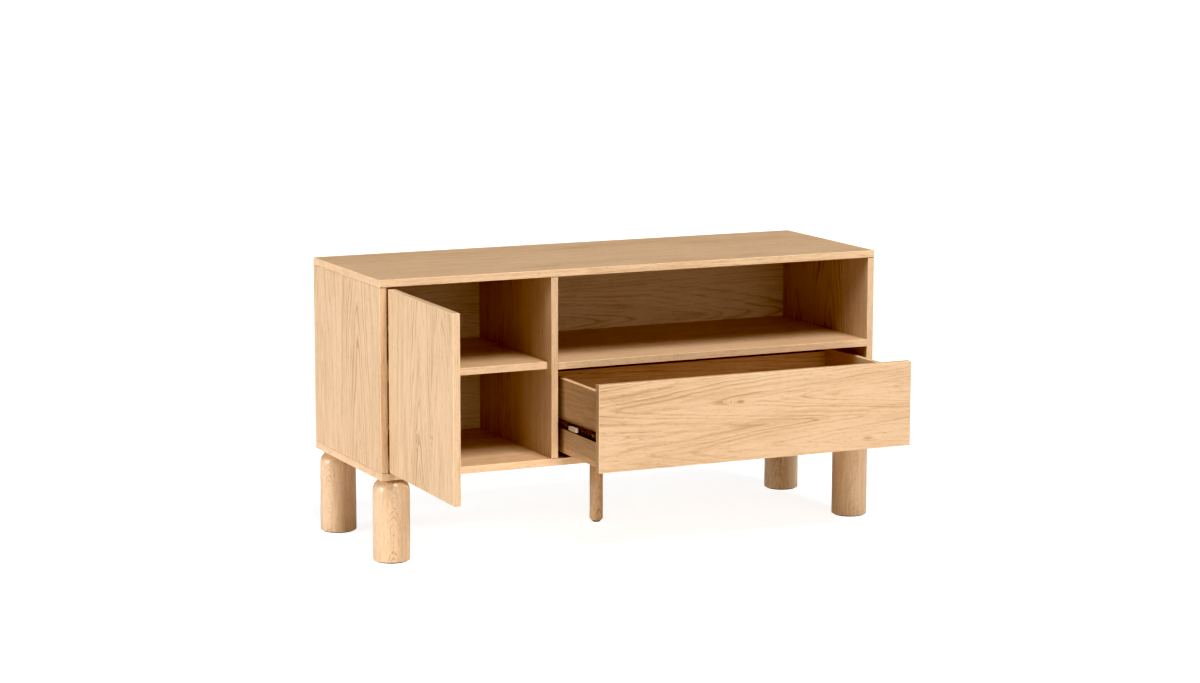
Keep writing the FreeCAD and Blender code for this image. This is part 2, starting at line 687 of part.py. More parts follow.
def drawer_dowel(a, b, extra=0.0):
    """Slimmer dowel than the carcase's."""
    return rod(DRAWER_DOWEL_R + extra, a, b)


def make_drawer():
    """Drawer box and front."""
    bottom = drawer_bottom_board()
    holes = [drawer_dowel(a, b, HOLE_CLEARANCE) for a, b in drawer_dowel_rods()]
    bottom_holes = bottom_screw_set(HOLE_CLEARANCE)
    front = eased(box(FRONT_LEFT, FRONT_RIGHT, FRONT, FRONT_INNER, FRONT_LOW, FRONT_HIGH))
    export("drawer_front", pulled(cut(front, holes + [bottom])))
    left = box(SIDE_LEFT, SIDE_LEFT + DRAWER_SIDE, FRONT_INNER, DRAWER_REAR, SIDE_LOW, SIDE_HIGH)
    right = box(SIDE_RIGHT - DRAWER_SIDE, SIDE_RIGHT, FRONT_INNER, DRAWER_REAR, SIDE_LOW, SIDE_HIGH)
    for name, board, side in (("left", left, -1), ("right", right, 1)):
        tools = holes + bottom_holes + drawer_screw_set(side, HOLE_CLEARANCE)
        board = eased(board, lambda p: near(p.z, SIDE_HIGH))
        export("drawer_" + name + "_side", pulled(cut(board, tools)))
    back = box(SIDE_LEFT + DRAWER_SIDE, SIDE_RIGHT - DRAWER_SIDE, DRAWER_REAR - DRAWER_SIDE,
               DRAWER_REAR, SIDE_LOW, SIDE_HIGH - DRAWER_BACK_DROP)
    export("drawer_back", pulled(cut(back, holes)))
    export("drawer_bottom", pulled(cut(bottom, bottom_holes)))
    export_group("drawer_bottom_screws", [pulled(s) for s in bottom_screw_set()])
    export_group("drawer_dowels", [pulled(drawer_dowel(a, b)) for a, b in drawer_dowel_rods()])


# ---------------------------------------------------------------- slides

SLIDE_FRONT = FRONT_INNER + SLIDE_SETBACK
SLIDE_LENGTH = DRAWER_REAR - SLIDE_FRONT
SLIDE_LEVEL = FLOOR_LEVEL + SLIDE_RISE


def from_wall(side, depth):
    """X at a depth from the bay's wall: side -1 is the divider, 1 the side panel."""
    return DIVIDER_RIGHT + depth if side < 0 else WALL_RIGHT - depth


def slide_box(side, d0, d1, y0, y1, z0, z1):
    """Box given by its depths from the bay's wall and its heights from the slide's centre."""
    x0, x1 = sorted((from_wall(side, d0), from_wall(side, d1)))
    return box(x0, x1, y0, y1, SLIDE_LEVEL + z0, SLIDE_LEVEL + z1)


def channel(side, back, mouth):
    """Channel with its web's outer face at one depth and its lips' edges at another."""
    y0 = SLIDE_FRONT
    y1 = SLIDE_FRONT + SLIDE_LENGTH
    web_face = back + math.copysign(SHEET, mouth - back)
    web = slide_box(side, back, web_face, y0, y1, -RAIL_HALF, RAIL_HALF)
    upper = slide_box(side, back, mouth, y0, y1, RAIL_HALF - SHEET, RAIL_HALF)
    lower = slide_box(side, back, mouth, y0, y1, -RAIL_HALF, SHEET - RAIL_HALF)
    return web.fuse(upper).fuse(lower).removeSplitter()


def middle_rail(side):
    """Rail of I section with its flanges above and below."""
    y0 = SLIDE_FRONT + BUMPER_OUT
    y1 = SLIDE_FRONT + SLIDE_LENGTH
    d0 = MIDDLE_INSET
    d1 = SLIDE_THICK - MIDDLE_INSET
    web0 = (SLIDE_THICK - SHEET) / 2
    web = slide_box(side, web0, web0 + SHEET, y0, y1, -MIDDLE_HALF, MIDDLE_HALF)
    upper = slide_box(side, d0, d1, y0, y1, MIDDLE_HALF - SHEET, MIDDLE_HALF)
    lower = slide_box(side, d0, d1, y0, y1, -MIDDLE_HALF, SHEET - MIDDLE_HALF)
    return web.fuse(upper).fuse(lower).removeSplitter()


def rail_screw_places():
    """Y places of the screws along a rail."""
    first = SLIDE_FRONT + RAIL_SCREW_FROM_END
    last = SLIDE_FRONT + SLIDE_LENGTH - RAIL_SCREW_FROM_END
    return [first, (first + last) / 2, last]


def bay_screw_set(side, extra=0.0):
    """Screws through one wall rail into the bay's wall."""
    into = Vec(side, 0, 0)
    x = from_wall(side, SHEET)
    return [small_screw(Vec(x, y, SLIDE_LEVEL), into, extra) for y in rail_screw_places()]


def drawer_screw_set(side, extra=0.0):
    """Screws through one drawer rail into the drawer's side."""
    into = Vec(-side, 0, 0)
    x = from_wall(side, SLIDE_THICK - SHEET)
    return [small_screw(Vec(x, y, SLIDE_LEVEL), into, extra, SHEET, RAIL_SCREW_LENGTH)
            for y in rail_screw_places()]


def perforations(side):
    """Row of round holes through a drawer rail's web, clear of its screws."""
    tools = []
    clear = RAIL_HOLE_R + SMALL_SCREW_HEAD_R + RAIL_HOLE_MARGIN
    y = SLIDE_FRONT + RAIL_HOLE_PITCH / 2
    while y < SLIDE_FRONT + SLIDE_LENGTH - RAIL_HOLE_PITCH / 2:
        if min(abs(y - s) for s in rail_screw_places()) > clear:
            a = Vec(from_wall(side, SLIDE_THICK - SHEET), y, SLIDE_LEVEL)
            b = Vec(from_wall(side, SLIDE_THICK), y, SLIDE_LEVEL)
            tools.append(rod(RAIL_HOLE_R, a, b))
        y += RAIL_HOLE_PITCH
    return tools


def ball_cages(side):
    """Cages above and below the middle rail, one pair in each channel."""
    low = MIDDLE_HALF + CAGE_CLEARANCE
    high = RAIL_HALF - SHEET - CAGE_CLEARANCE
    wall_start = MIDDLE_INSET + CAGE_INSET
    drawer_start = SLIDE_THICK - wall_start - CAGE_WIDTH
    cages = []
    for d0, share in ((wall_start, WALL_CAGE_PLACE), (drawer_start, DRAWER_CAGE_PLACE)):
        y = SLIDE_FRONT + SLIDE_LENGTH * share
        for z0, z1 in ((low, high), (-high, -low)):
            cages.append(slide_box(side, d0, d0 + CAGE_WIDTH, y, y + CAGE_LENGTH, z0, z1))
    return cages


def bumper(side):
    """Pale block on the middle rail's front end, with a tongue on each side of its web."""
    rail_end = SLIDE_FRONT + BUMPER_OUT
    d0 = MIDDLE_INSET + BUMPER_INSET
    d1 = SLIDE_THICK - d0
    web0 = (SLIDE_THICK - SHEET) / 2
    block = slide_box(side, d0, d1, SLIDE_FRONT, rail_end, -BUMPER_HALF, BUMPER_HALF)
    half = MIDDLE_HALF - SHEET - TONGUE_PLAY
    for t0, t1 in ((d0, web0), (web0 + SHEET, d1)):
        tongue = slide_box(side, t0, t1, rail_end, rail_end + BUMPER_GRIP, -half, half)
        block = block.fuse(tongue)
    return block.removeSplitter()


def make_slides():
    """Both slides: wall rail, middle rail with cages and bumper, rail on the drawer."""
    names = {-1: "left", 1: "right"}
    for side, name in names.items():
        outer = channel(side, 0.0, RAIL_REACH)
        export(name + "_slide_outer_rail", cut(outer, bay_screw_set(side, HOLE_CLEARANCE)))
        export(name + "_slide_middle_rail", pulled(middle_rail(side), PULLED_SHARE))
        inner = channel(side, SLIDE_THICK, SLIDE_THICK - RAIL_REACH)
        tools = drawer_screw_set(side, HOLE_CLEARANCE) + perforations(side)
        export(name + "_slide_inner_rail", pulled(cut(inner, tools)))
        cages = [pulled(c, PULLED_SHARE) for c in ball_cages(side)]
        export_group(name + "_slide_ball_cages", cages)
        export(name + "_slide_bumper", pulled(bumper(side), PULLED_SHARE))
    export_group("slide_wall_screws", bay_screw_set(-1) + bay_screw_set(1))
    drawer_screws = drawer_screw_set(-1) + drawer_screw_set(1)
    export_group("slide_drawer_screws", [pulled(s) for s in drawer_screws])


make_carcase()
make_loose_shelf()
make_legs()
make_door()
make_latch()
make_drawer()
make_slides()
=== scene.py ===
import json
import math

import bmesh
import bpy
from mathutils import Euler, Matrix, Vector


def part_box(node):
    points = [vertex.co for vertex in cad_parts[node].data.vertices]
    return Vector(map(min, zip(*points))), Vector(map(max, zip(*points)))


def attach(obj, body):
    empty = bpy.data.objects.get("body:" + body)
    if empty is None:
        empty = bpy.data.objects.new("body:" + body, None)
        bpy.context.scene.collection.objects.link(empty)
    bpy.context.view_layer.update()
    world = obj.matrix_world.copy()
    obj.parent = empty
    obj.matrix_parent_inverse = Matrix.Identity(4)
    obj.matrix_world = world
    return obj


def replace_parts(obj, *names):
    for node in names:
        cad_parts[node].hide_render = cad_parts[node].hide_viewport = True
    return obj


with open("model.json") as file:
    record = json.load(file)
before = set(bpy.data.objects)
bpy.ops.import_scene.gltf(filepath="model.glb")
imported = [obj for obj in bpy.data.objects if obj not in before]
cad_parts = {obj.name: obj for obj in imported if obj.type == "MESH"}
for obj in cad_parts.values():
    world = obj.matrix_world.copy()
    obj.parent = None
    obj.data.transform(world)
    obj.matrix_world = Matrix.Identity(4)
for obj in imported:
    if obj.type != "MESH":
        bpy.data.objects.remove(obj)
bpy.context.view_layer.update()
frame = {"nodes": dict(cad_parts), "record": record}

MM = 0.001

# The camera, in metres and degrees
CAMERA_PLACE = Vector((-2.8730, -6.1661, 1.5024))
CAMERA_YAW = 25.05
CAMERA_PITCH = 9.09
CAMERA_ROLL = 0.09
CAMERA_LENS = 91.54
SENSOR = 36.0

# Studio light. A lamp's azimuth is to the left of the front, in degrees
LAMPS = (
    # name, azimuth, height, strength, softness, colour
    ("key", -3.0, 58.5, 3.25, 28.0, (0.985, 0.985, 0.985)),
    ("side", 90.0, 16.0, 2.15, 26.0, (0.97, 0.99, 1.03)),
    ("front", 4.0, 6.0, 0.78, 40.0, (1.0, 1.0, 1.0)),
)
FLOOR_HALF = 60.0
FLOOR_DROP = 0.2 * MM       # under the feet
FLOOR_PALE = (0.30, 0.30, 0.30)
FLOOR_GLOW = 0.88
BOUNCE_DROP = 0.5 * MM      # under the floor that the camera sees
BOUNCE_PALE = (0.78, 0.76, 0.72)
BOUNCE_GLOW = 0.20
SKY_COLOUR = (1.0, 0.95, 0.88)
SKY_STRENGTH = 0.06
PRINT_GAMMA = 0.76          # below 1: deeper, warmer shadows, as a printed catalogue has
PRINT_BLACK = (0.040, 0.045, 0.051)     # linear light that prints as black

FLAT = 0.985                # cosine above which a facet belongs to a flat side of its board
DOOR_REST = 91.0            # degrees the door stands open

# Wood colours, linear
OAK_LIGHT = (0.735, 0.555, 0.385)
OAK_DARK = (0.520, 0.338, 0.190)
OAK_PORE = (0.310, 0.172, 0.082)
OAK_SEAM = (0.150, 0.075, 0.032)
OAK_BLUSH = (0.75, 0.49, 0.33)

# Noise in the grain, in repeats per metre along it and across it
WANDER = (3.0, 11.0)        # slow bends of the growth rings
WOBBLE = (16.0, 55.0)       # their small bends
PATCHES = (5.0, 18.0)       # where the rings are strong or weak
DASHES = (110.0, 240.0)     # breaks in the rings
FIBRE = (24.0, 360.0)
STREAK = (7.0, 130.0)
BAND = (1.6, 26.0)
CLOUD = (2.2, 6.0)
TICKS = (70.0, 520.0)       # open pores
# How much each of them darkens the wood
FIBRE_DEPTH, STREAK_DEPTH, BAND_DEPTH, CLOUD_DEPTH, TICK_DEPTH = 1.05, 1.0, 0.75, 0.45, 0.30

LEAF_SHIFT = 1.1            # longest shift of the figure from one strip of veneer to the next
ARCH_BLEND = 12 * MM        # how softly two lines of arches join
KNOT_LENGTH = 2.6           # a knot's length along the grain, for each unit across it
SEAM_CORE, SEAM_FADE = 0.5 * MM, 1.7 * MM
OAK_RELIEF = 0.16 * MM

# Wood screws
THREAD_PITCH = 1.3 * MM
TIP_LENGTH = 1.8 * MM
HEAD_BEVEL, HEAD_RIM = 0.25 * MM, 0.12 * MM
THREADED_SHARE = 0.55
THREAD_CORE = 0.70          # of the shank's radius
NECK = 0.85                 # of the shank's radius
CROSS_REACH, CROSS_HALF, CROSS_DEPTH = 0.56, 0.15, 0.5      # of the head's radius
CROSS_TAPER = 0.7           # the recess at its floor, of its mouth


# ---------------------------------------------------------------- shader helper

class Graph:
    """Adds and links the nodes of one material."""

    def __init__(self, name):
        self.material = bpy.data.materials.new(name)
        self.material.use_nodes = True
        self.tree = self.material.node_tree
        self.tree.nodes.clear()

    def add(self, kind, inputs=None, **settings):
        """New node with its settings, and its inputs by name or number."""
        node = self.tree.nodes.new(kind)
        for key, value in settings.items():
            setattr(node, key, value)
        for key, value in (inputs or {}).items():
            self.feed(node.inputs[key], value)
        return node

    def feed(self, socket, value):
        """Link a socket, or set its value."""
        if isinstance(value, bpy.types.NodeSocket):
            self.tree.links.new(value, socket)
        else:
            socket.default_value = value

    def math(self, operation, a, b=0.0, c=0.0):
        """Result of a Math node."""
        return self.add("ShaderNodeMath", {0: a, 1: b, 2: c}, operation=operation).outputs[0]

    def step(self, value, low, high, to_low=0.0, to_high=1.0):
        """Smooth step of value from low to high."""
        node = self.add("ShaderNodeMapRange", {0: value, 1: low, 2: high, 3: to_low, 4: to_high})
        node.interpolation_type = "SMOOTHSTEP"
        return node.outputs[0]

    def mix(self, factor, a, b, blend="MIX"):
        """Colour mix of a and b."""
        node = self.add("ShaderNodeMix", data_type="RGBA", blend_type=blend)
        self.feed(node.inputs[0], factor)
        self.feed(node.inputs[6], colour(a))
        self.feed(node.inputs[7], colour(b))
        return node.outputs[2]

    def vector(self, x, y, z):
        """Vector from three values."""
        return self.add("ShaderNodeCombineXYZ", {0: x, 1: y, 2: z}).outputs[0]

    def noise(self, vector, detail=2.0, roughness=0.5, scale=1.0):
        """Noise value at a vector."""
        node = self.add("ShaderNodeTexNoise",
                        {"Vector": vector, "Scale": scale, "Detail": detail, "Roughness": roughness})
        return node.outputs[0]

    def place(self):
        """Object coordinates, split into x, y and z."""
        coords = self.add("ShaderNodeTexCoord").outputs["Object"]
        split = self.add("ShaderNodeSeparateXYZ", {0: coords})
        return coords, {"x": split.outputs[0], "y": split.outputs[1], "z": split.outputs[2]}

    def surface(self, base, roughness, height=None, relief=0.0, **sockets):
        """Principled shader on the output, with a bump where a height is given."""
        shader = self.add("ShaderNodeBsdfPrincipled")
        self.feed(shader.inputs["Base Color"], colour(base))
        self.feed(shader.inputs["Roughness"], roughness)
        for key, value in sockets.items():
            self.feed(shader.inputs[key.replace("_", " ")], value)
        if height is not None:
            bump = self.add("ShaderNodeBump", {"Distance": relief, "Height": height, "Strength": 1.0})
            self.feed(shader.inputs["Normal"], bump.outputs[0])
        self.add("ShaderNodeOutputMaterial", {0: shader.outputs[0]})
        return self.material


def colour(value):
    """Colour with alpha where three numbers are given."""
    if isinstance(value, tuple) and len(value) == 3:
        return (*value, 1.0)
    return value


# ---------------------------------------------------------------- materials

def oak(name, axes, centre, slope=0.10, pitch=0.0085, leaf=0.0, tone=1.0, figure=0.85, seed=0.0,
        warp=0.0035, rough=0.50, round_tip=0.007, spread=0.075, turn=0.0, pith=None, second=None,
        dashes=0.0, coat=0.0, knots=(), seams=()):
    """Lacquered oak. axes gives the grain's direction, then across it, then into the board.

    The growth rings meet a flat-sawn face as nested pointed arches on a line through centre
    (along, across, into), which close towards the side where along is more for a positive slope.
    With a pith distance the rings are round a line that far behind centre instead, for turned
    parts. second is the place (along, across) of another line of arches beside the first. A leaf
    width repeats the figure in shifted strips of veneer. knots holds the places (along, across,
    size) of small knots, seams the places (axis, position) of joint lines.
    """
    g = Graph(name)
    coords, axis = g.place()
    along = g.math("SUBTRACT", axis[axes[0]], centre[0])
    across = g.math("SUBTRACT", axis[axes[1]], centre[1])
    inward = g.math("SUBTRACT", axis[axes[2]], centre[2])
    if turn:
        cosine, sine = math.cos(math.radians(turn)), math.sin(math.radians(turn))
        turned = g.math("SUBTRACT", g.math("MULTIPLY", across, cosine),
                        g.math("MULTIPLY", inward, sine))
        inward = g.math("ADD", g.math("MULTIPLY", across, sine), g.math("MULTIPLY", inward, cosine))
        across = turned
    tint = 0.5
    if leaf:
        strip = g.math("FLOOR", g.math("DIVIDE", across, leaf))
        part = g.math("SUBTRACT", g.math("FRACT", g.math("DIVIDE", across, leaf)), 0.5)
        chance = g.add("ShaderNodeTexWhiteNoise", {"W": g.math("ADD", strip, seed + 0.5)},
                       noise_dimensions="1D")
        parts = g.add("ShaderNodeSeparateColor", {0: chance.outputs["Color"]})
        along = g.math("ADD", along,
                       g.math("MULTIPLY_ADD", parts.outputs[0], LEAF_SHIFT, -0.5 * LEAF_SHIFT))
        across = g.math("ADD", g.math("MULTIPLY", part, leaf),
                        g.math("MULTIPLY_ADD", parts.outputs[1], leaf * 0.6, leaf * -0.3))
        tint = parts.outputs[2]

    def swirl(run, width, shift, detail=2.0, rise=0.5):
        """Noise stretched along the grain, about 0, per metre along and across."""
        place = g.vector(g.math("MULTIPLY_ADD", along, run, shift),
                         g.math("MULTIPLY", across, width), g.math("MULTIPLY", inward, width))
        return g.math("SUBTRACT", g.noise(place, detail, rise), 0.5)

    def arches(run, width):
        """Growth-ring distance about a line of arches, from the places along and across it."""
        spine = g.math("SQRT", g.math("MULTIPLY_ADD", width, width, round_tip * round_tip))
        wide = g.math("DIVIDE", width, spread)
        lean = g.math("DIVIDE", slope, g.math("MULTIPLY_ADD", wide, wide, 1.0))
        return g.math("MULTIPLY_ADD", run, lean, spine)

    if pith is None:
        radius = arches(along, across)
        if second:
            beside = arches(g.math("SUBTRACT", axis[axes[0]], second[0]),
                            g.math("SUBTRACT", axis[axes[1]], second[1]))
            radius = g.math("SMOOTH_MIN", radius, beside, ARCH_BLEND)
        radius = g.math("ADD", radius, g.math("MULTIPLY", inward, 0.6))
    else:
        away = g.math("SUBTRACT", g.math("MULTIPLY_ADD", along, slope, inward), pith)
        radius = g.math("SQRT", g.math("ADD", g.math("MULTIPLY", across, across),
                                       g.math("MULTIPLY", away, away)))
    radius = g.math("MULTIPLY_ADD", swirl(*WANDER, seed, 3.0), warp * 8.0, radius)
    radius = g.math("MULTIPLY_ADD", swirl(*WOBBLE, seed + 5.0), warp * 0.9, radius)
    spot = 0.0
    for knot_along, knot_across, size in knots:
        du = g.math("DIVIDE", g.math("SUBTRACT", axis[axes[0]], knot_along),
                    size * KNOT_LENGTH)
        dv = g.math("DIVIDE", g.math("SUBTRACT", axis[axes[1]], knot_across), size)
        far = g.math("MULTIPLY_ADD", du, du, g.math("MULTIPLY", dv, dv))
        near = g.math("EXPONENT", g.math("MULTIPLY", far, -0.5))
        radius = g.math("MULTIPLY_ADD", near, -1.6 * pitch, radius)
        spot = g.math("ADD", spot, g.math("EXPONENT", g.math("MULTIPLY", far, -3.0)))
    # Rings crowd together and spread out, and each year has its own strength
    crowd = g.add("ShaderNodeTexNoise", {"W": g.math("MULTIPLY_ADD", radius, 0.35 / pitch, seed),
                                         "Scale": 1.0, "Detail": 1.0}, noise_dimensions="1D")
    radius = g.math("MULTIPLY_ADD", crowd.outputs[0], 2.6 * pitch, radius)
    turns = g.math("DIVIDE", radius, pitch)
    phase = g.math("FRACT", turns)
    year = g.add("ShaderNodeTexWhiteNoise", {"W": g.math("FLOOR", turns)}, noise_dimensions="1D")
    early = g.math("MULTIPLY", g.step(phase, 0.0, 0.07), g.step(phase, 0.12, 0.46, 1.0, 0.0))
    late = g.step(phase, 0.45, 1.0, 0.0, 0.35)
    ring = g.math("MULTIPLY", g.math("ADD", early, late),
                  g.math("MULTIPLY_ADD", year.outputs[0], 0.75, 0.35))
    fade = g.math("DIVIDE", g.math("ABSOLUTE", across), spread)
    ring = g.math("MULTIPLY", ring, g.step(fade, 0.4, 1.6, 1.0, 0.45))
    ring = g.math("MULTIPLY", ring, g.step(swirl(*PATCHES, seed + 9.0), -0.16, 0.12, 0.35, 1.0))
    if dashes:
        broken = g.step(swirl(*DASHES, seed), -0.08, 0.10, 1.0 - dashes, 1.0)
        ring = g.math("MULTIPLY", ring, broken)

    fibre = swirl(*FIBRE, 0.0, 3.0, 0.62)
    streak = swirl(*STREAK, seed + 1.0, 2.0, 0.6)
    band = swirl(*BAND, seed + 3.0)
    cloud = swirl(*CLOUD, seed + 7.0, 1.0)
    ticks = g.step(swirl(*TICKS, 3.0), 0.07, 0.16)
    ticks = g.math("MULTIPLY", ticks, g.step(phase, 0.7, 0.1, 0.35, 1.0))

    dark = g.math("MULTIPLY", ring, figure)
    for wave, depth in ((fibre, FIBRE_DEPTH), (streak, STREAK_DEPTH), (band, BAND_DEPTH),
                        (cloud, CLOUD_DEPTH)):
        dark = g.math("MULTIPLY_ADD", wave, depth, dark)
    if leaf:
        dark = g.math("MULTIPLY_ADD", g.math("SUBTRACT", tint, 0.5), 0.28, dark)
    dark = g.math("MULTIPLY_ADD", spot, 0.9, dark)
    dark = g.add("ShaderNodeClamp", {0: g.math("ADD", dark, 0.06)}).outputs[0]
    light, deep, pores, warm = (tuple(c * tone for c in shade)
                                for shade in (OAK_LIGHT, OAK_DARK, OAK_PORE, OAK_BLUSH))
    base = g.mix(dark, light, deep)
    base = g.mix(g.math("MULTIPLY", ticks, TICK_DEPTH), base, pores)
    blush = g.noise(coords, 1.0, 0.5, 4.0)
    base = g.mix(g.step(blush, 0.38, 0.62, 0.0, 0.12), base, warm)
    for name_of_axis, position in seams:
        gap = g.math("ABSOLUTE", g.math("SUBTRACT", axis[name_of_axis], position))
        base = g.mix(g.step(gap, SEAM_CORE, SEAM_FADE, 0.85, 0.0), base, OAK_SEAM)

    rougher = g.math("MULTIPLY_ADD", fibre, 0.18, rough)
    height = g.math("MULTIPLY_ADD", fibre, 0.6, g.math("MULTIPLY", ring, -0.25))
    height = g.math("MULTIPLY_ADD", ticks, -0.6, height)
    return g.surface(base, rougher, height, OAK_RELIEF, Specular_IOR_Level=0.5, Coat_Weight=coat,
                     Coat_Roughness=0.30)


def steel(name, tint, rough=0.32, across=(40.0, 900.0, 900.0), metallic=1.0):
    """Metal with drawn lines, a little dulling and small scuffs."""
    g = Graph(name)
    coords, axis = g.place()
    stretched = g.vector(*[g.math("MULTIPLY", axis[a], s) for a, s in zip("xyz", across)])
    lines = g.noise(stretched, 2.0, 0.6)
    cloud = g.noise(coords, 3.0, 0.6, 55.0)
    scuff = g.step(g.noise(coords, 4.0, 0.7, 260.0), 0.62, 0.74)
    darker = tuple(c * 0.72 for c in tint)
    base = g.mix(g.step(cloud, 0.35, 0.7), tint, darker)
    lighter = tuple(min(1.0, c * 1.25 + 0.03) for c in tint)
    base = g.mix(g.math("MULTIPLY", scuff, 0.25), base, lighter)
    roughness = g.math("MULTIPLY_ADD", lines, 0.22, rough - 0.08)
    return g.surface(base, roughness, lines, 0.04 * MM, Metallic=metallic)


def plastic(name, tint, rough=0.45):
    """Moulded plastic with a fine leather-like texture."""
    g = Graph(name)
    coords = g.place()[0]
    fine = g.noise(coords, 2.0, 0.5, 900.0)
    cloud = g.noise(coords, 2.0, 0.5, 30.0)
    base = g.mix(g.step(cloud, 0.3, 0.7, 0.0, 0.5), tint, tuple(c * 0.82 for c in tint))
    lighter = tuple(min(1.0, c * 1.2 + 0.01) for c in tint)
    base = g.mix(g.step(fine, 0.55, 0.8, 0.0, 0.3), base, lighter)
    return g.surface(base, g.math("MULTIPLY_ADD", fine, 0.2, rough - 0.1), fine, 0.05 * MM)


def felt(name, tint):
    """Dense needle felt."""
    g = Graph(name)
    coords = g.place()[0]
    hair = g.noise(coords, 5.0, 0.75, 1400.0)
    clump = g.noise(coords, 2.0, 0.5, 240.0)
    base = g.mix(g.step(hair, 0.35, 0.65), tuple(c * 0.6 for c in tint), tint)
    base = g.mix(g.step(clump, 0.4, 0.7, 0.0, 0.4), base, tuple(c * 1.5 for c in tint))
    return g.surface(base, 0.95, hair, 0.3 * MM)


# ---------------------------------------------------------------- pieces from CAD nodes

def link(name, mesh, body):
    """New piece that rides on a body."""
    piece = bpy.data.objects.new(name, mesh)
    bpy.context.scene.collection.objects.link(piece)
    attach(piece, body)
    return piece


def body_of(node):
    """Name of the body a CAD node belongs to."""
    for body, members in frame["record"]["behaviour"]["bodies"].items():
        if node in members:
            return body
    raise ValueError(node)


def paint(node, material):
    """Give a CAD node its material."""
    slots = frame["nodes"][node].material_slots
    for s in slots:
        s.material = material
    if not slots:
        frame["nodes"][node].data.materials.append(material)


def board(node, face_normal, face, edge, highlight_edge):
    """Board in place of a CAD node: veneer on its two broad faces, edge bands, eased corners in a
    paler oak as a painted highlight.
    """
    mesh = frame["nodes"][node].data.copy()
    mesh.materials.clear()
    for material in (face, edge, highlight_edge):
        mesh.materials.append(material)
    normal = Vector(face_normal).normalized()
    sides = (Vector((1, 0, 0)), Vector((0, 1, 0)))
    if abs(normal.z) < FLAT:
        sides = (Vector((0, 0, 1)), normal.cross(Vector((0, 0, 1))))
    for polygon in mesh.polygons:
        on_face = abs(polygon.normal.dot(normal)) > FLAT
        on_edge = max(abs(polygon.normal.dot(side)) for side in sides) > FLAT
        polygon.material_index = 0 if on_face else 1 if on_edge else 2
    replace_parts(link(node + "_veneered", mesh, body_of(node)), node)


def wood_boards():
    """Every board of the carcase, the door and the drawer."""
    across_x, across_y, across_z = (1, 0, 0), (0, 1, 0), (0, 0, 1)
    floor_joint, top_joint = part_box("bottom_panel")[1].z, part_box("top_panel")[0].z
    joints = (("z", floor_joint), ("z", top_joint))
    straight = dict(slope=0.01, pitch=0.0055, figure=0.55, spread=0.2)
    band_x = oak("band_along_width", "xzy", (0.3, 0.75, 0.0), seed=4.0, tone=1.05, **straight)
    band_y = oak("band_along_depth", "yzx", (0.1, 0.75, 0.0), seed=6.0, tone=1.15, **straight)
    band_z = oak("band_upright", "zxy", (0.3, 0.15, 0.0), seed=8.0, tone=1.0, seams=joints, **straight)
    ply = oak("drawer_bottom_edge", "yxz", (0.1, 0.75, 0.0), seed=9.0, tone=1.2, **straight)
    # Eased corners: a paler oak (tone 1.22) along every rounded edge is a painted highlight.
    highlight_edge = oak("eased_edge_painted_highlight", "xyz", (0.2, 0.6, 0.0), seed=12.0, tone=1.22, rough=0.36, coat=0.4,
               **straight)

    for node, seed in (("top_panel", 2.0), ("bottom_panel", 11.0), ("media_shelf", 17.0)):
        low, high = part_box(node)
        veneer = oak(node + "_veneer", "xyz", (0.1, low.y, high.z), 0.04, 0.0075, leaf=0.137,
                     seed=seed, figure=0.6)
        board(node, across_z, veneer, band_x, highlight_edge)
    low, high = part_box("cabinet_shelf")
    loose = oak("cabinet_shelf_veneer", "xyz", (-0.4, low.y, high.z), 0.05, 0.0075, leaf=0.13,
                seed=23.0, figure=0.6)
    board("cabinet_shelf", across_z, loose, band_x, highlight_edge)

    # Upright veneers: the arches point up, about a line a little in front of the middle
    side = oak("left_side_veneer", "zyx", (0.40, -0.071, -0.6), 0.16, 0.0155, seed=31.0,
               figure=1.2, warp=0.006, second=(0.30, 0.153), knots=((0.245, -0.082, 0.004),),
               seams=joints)
    board("left_side_panel", across_x, side, band_z, highlight_edge)
    side = oak("right_side_veneer", "zyx", (0.36, -0.03, 0.6), 0.16, 0.0150, seed=37.0,
               figure=1.4, warp=0.006, second=(0.30, 0.13), seams=joints)
    board("right_side_panel", across_x, side, band_z, highlight_edge)
    middle = oak("divider_veneer", "zyx", (0.36, 0.03, -0.2), 0.10, 0.0085, seed=41.0)
    board("centre_divider", across_x, middle, band_z, highlight_edge)

    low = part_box("back_panel")[0]
    back = oak("back_veneer", "xzy", (0.05, 0.50, low.y), 0.10, 0.0095, leaf=0.19, seed=43.0,
               figure=1.0)
    board("back_panel", across_y, back, band_x, highlight_edge)

    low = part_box("door_panel")[0]
    door = oak("door_veneer", "zyx", (0.30, -0.395, low.x), 0.15, 0.0140, seed=47.0, figure=1.1,
               warp=0.006, second=(0.15, -0.525),
               knots=((0.300, -0.377, 0.0045), (0.308, -0.466, 0.003), (0.474, -0.271, 0.003)))
    turned = Matrix.Rotation(math.radians(-DOOR_REST), 3, "Z") @ Vector(across_y)
    board("door_panel", turned, door, band_z, highlight_edge)

    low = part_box("drawer_front")[0]
    front = oak("drawer_front_veneer", "xzy", (0.15, 0.333, low.y), -0.098, 0.0092, seed=53.0,
                figure=0.85, warp=0.0032, second=(0.30, 0.231),
                knots=((0.153, 0.331, 0.006), (0.473, 0.226, 0.009)))
    board("drawer_front", across_y, front, band_x, highlight_edge)
    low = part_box("drawer_left_side")[0]
    side = oak("drawer_side_veneer", "yzx", (low.y, 0.30, low.x), 0.08, 0.0085, seed=59.0,
               figure=0.5)
    board("drawer_left_side", across_x, side, band_y, highlight_edge)
    board("drawer_right_side", across_x, side, band_y, highlight_edge)
    rear = oak("drawer_back_veneer", "xzy", (0.1, 0.30, 0.0), 0.07, 0.0085, seed=61.0, tone=1.12)
    board("drawer_back", across_y, rear, band_x, highlight_edge)
    foil = oak("drawer_bottom_foil", "xyz", (0.0, -0.25, 0.220), 0.04, 0.009, seed=67.0, figure=0.5)
    board("drawer_bottom", across_z, foil, ply, highlight_edge)


